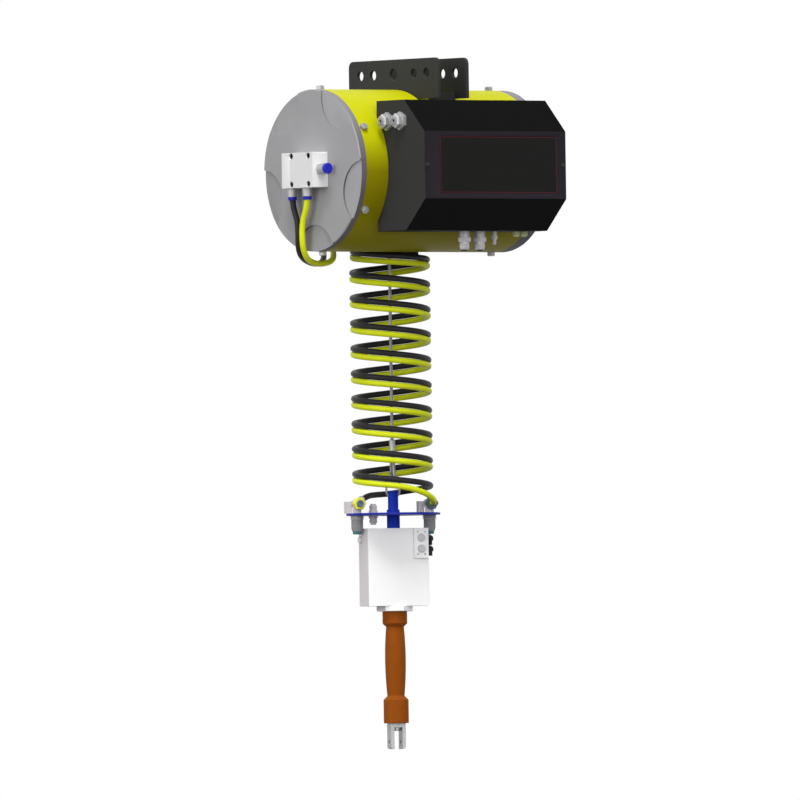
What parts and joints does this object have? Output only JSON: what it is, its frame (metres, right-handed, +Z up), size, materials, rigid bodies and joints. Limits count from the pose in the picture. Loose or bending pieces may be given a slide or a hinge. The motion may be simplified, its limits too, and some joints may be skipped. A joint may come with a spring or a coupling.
{
  "type": "air balancer",
  "caption": "Pneumatic rope balancer with a drum, control box, coiled hoses and a hanging handle with push buttons and a swivel clevis.",
  "frame": {"origin": "centre of the hanger's middle hole, half way between its two plates", "axes": "+X along the drum, away from the valve block's end; -Y towards the control box; +Z up"},
  "size_m": [0.4421, 0.4183, 1.1608],
  "materials": {
    "yellow_paint": "glossy yellow enamel",
    "cast_grey": "satin cast face",
    "zinc_steel": "zinc plated",
    "ground_steel": "ground and polished",
    "black_rubber": "matt moulded rubber",
    "black_plate": "black powder coat",
    "box_black": "black powder coat on folded sheet",
    "panel_glass": "smoked black window",
    "nickel_brass": "nickel plated brass",
    "silencer_plastic": "pale porous plastic",
    "board_green": "solder mask",
    "aluminium": "machined",
    "white_paint": "white powder coat",
    "dark_steel": "black oxide",
    "collet_blue": "moulded release collar",
    "black_hose": "polyurethane hose",
    "yellow_hose": "polyurethane hose",
    "black_plastic": "moulded nylon",
    "steel_rope": "stranded wire rope",
    "blue_paint": "blue enamel",
    "fitting_grey": "moulded fitting body",
    "collet_teal": "moulded release collar",
    "fitting_light": "moulded fitting body",
    "nut_yellow": "moulded nut",
    "nut_blue_grey": "moulded nut",
    "grip_brown": "moulded brown grip",
    "clevis_steel": "machined steel",
    "button_grey": "moulded push button"
  },
  "bodies": {
    "housing": {"drum_shell": "yellow_paint", "left_cap": "cast_grey", "right_cap": "cast_grey", "cap_bolts": "zinc_steel", "screw_end_bolt": "zinc_steel", "ball_screw": "ground_steel", "bumper": "black_rubber", "left_hanger_plate": "black_plate", "right_hanger_plate": "black_plate", "hanger_ties": "black_plate", "control_box": "box_black", "front_panel": "panel_glass", "side_glands": "nickel_brass", "bottom_glands": "nickel_brass", "silencers": "silencer_plastic", "control_board": "board_green", "proportional_valve": "aluminium", "valve_block": "white_paint", "valve_block_screws": "dark_steel", "block_fittings": "nickel_brass", "fitting_collets": "collet_blue", "black_hose_lead": "black_hose", "yellow_hose_lead": "yellow_hose", "rope_guide": "black_plastic", "rope": "steel_rope", "hose_coil": "yellow_hose"},
    "piston": {"piston": "aluminium", "piston_seal": "black_rubber", "thrust_bearing": "ground_steel"},
    "reel": {"reel": "aluminium", "ball_nut": "ground_steel", "rope_wraps": "steel_rope"},
    "handle_unit": {"black_hose_tail": "black_hose", "yellow_hose_tail": "yellow_hose", "ferrule": "aluminium", "rope_loop": "steel_rope", "rope_thimble": "zinc_steel", "chain_link": "zinc_steel", "stem": "blue_paint", "disc": "blue_paint", "bulkhead_bodies": "fitting_grey", "bulkhead_tips": "collet_teal", "disc_elbows": "fitting_light", "left_elbow_nut": "nut_yellow", "right_elbow_nut": "nut_blue_grey", "disc_gland": "fitting_grey", "handle_box": "white_paint", "handle_box_cover": "white_paint", "handle_box_screws": "zinc_steel", "handle_box_nut": "white_paint", "button_block": "white_paint", "button_valves": "aluminium", "signal_elbows": "black_plastic", "side_boss": "fitting_light", "spindle": "ground_steel", "pivot_nut": "zinc_steel"},
    "grip": {"grip": "grip_brown"},
    "clevis": {"clevis": "clevis_steel"},
    "raise_button": {"raise_button": "button_grey"},
    "lower_button": {"lower_button": "button_grey"}
  },
  "joints": [
    {"name": "load_lift", "type": "slide", "parent": "housing", "child": "handle_unit", "axis": [0, 0, -1], "range_m": [-0.1, 1.37], "deforming": ["rope", "hose_coil"]},
    {"name": "piston_slide", "type": "slide", "parent": "housing", "child": "piston", "axis": [1, 0, 0], "range_m": [-0.0565, 0.0045]},
    {"name": "reel_spin", "type": "hinge", "parent": "piston", "child": "reel", "pos_m": [0, 0, -0.1623], "axis": [1, 0, 0], "range_deg": [-1268, 94]},
    {"name": "grip_slide", "type": "slide", "parent": "handle_unit", "child": "grip", "axis": [0, 0, 1], "range_m": [-0.005, 0.005], "stiffness_N_per_m": 3000},
    {"name": "clevis_swivel", "type": "hinge", "parent": "handle_unit", "child": "clevis", "pos_m": [0, 0.062, -1.0955], "axis": [0, 0, 1], "continuous": true},
    {"name": "raise_button_press", "type": "slide", "parent": "handle_unit", "child": "raise_button", "axis": [0.2924, 0.9563, 0], "range_m": [0, 0.002], "stiffness_N_per_m": 600, "springref_m": -0.001},
    {"name": "lower_button_press", "type": "slide", "parent": "handle_unit", "child": "lower_button", "axis": [0.2924, 0.9563, 0], "range_m": [0, 0.002], "stiffness_N_per_m": 600, "springref_m": -0.001}
  ],
  "couplings": [
    {"joint": "piston_slide", "follows": "load_lift", "ratio": -0.041072},
    {"joint": "reel_spin", "follows": "load_lift", "rad_per_m": -16.129}
  ]
}
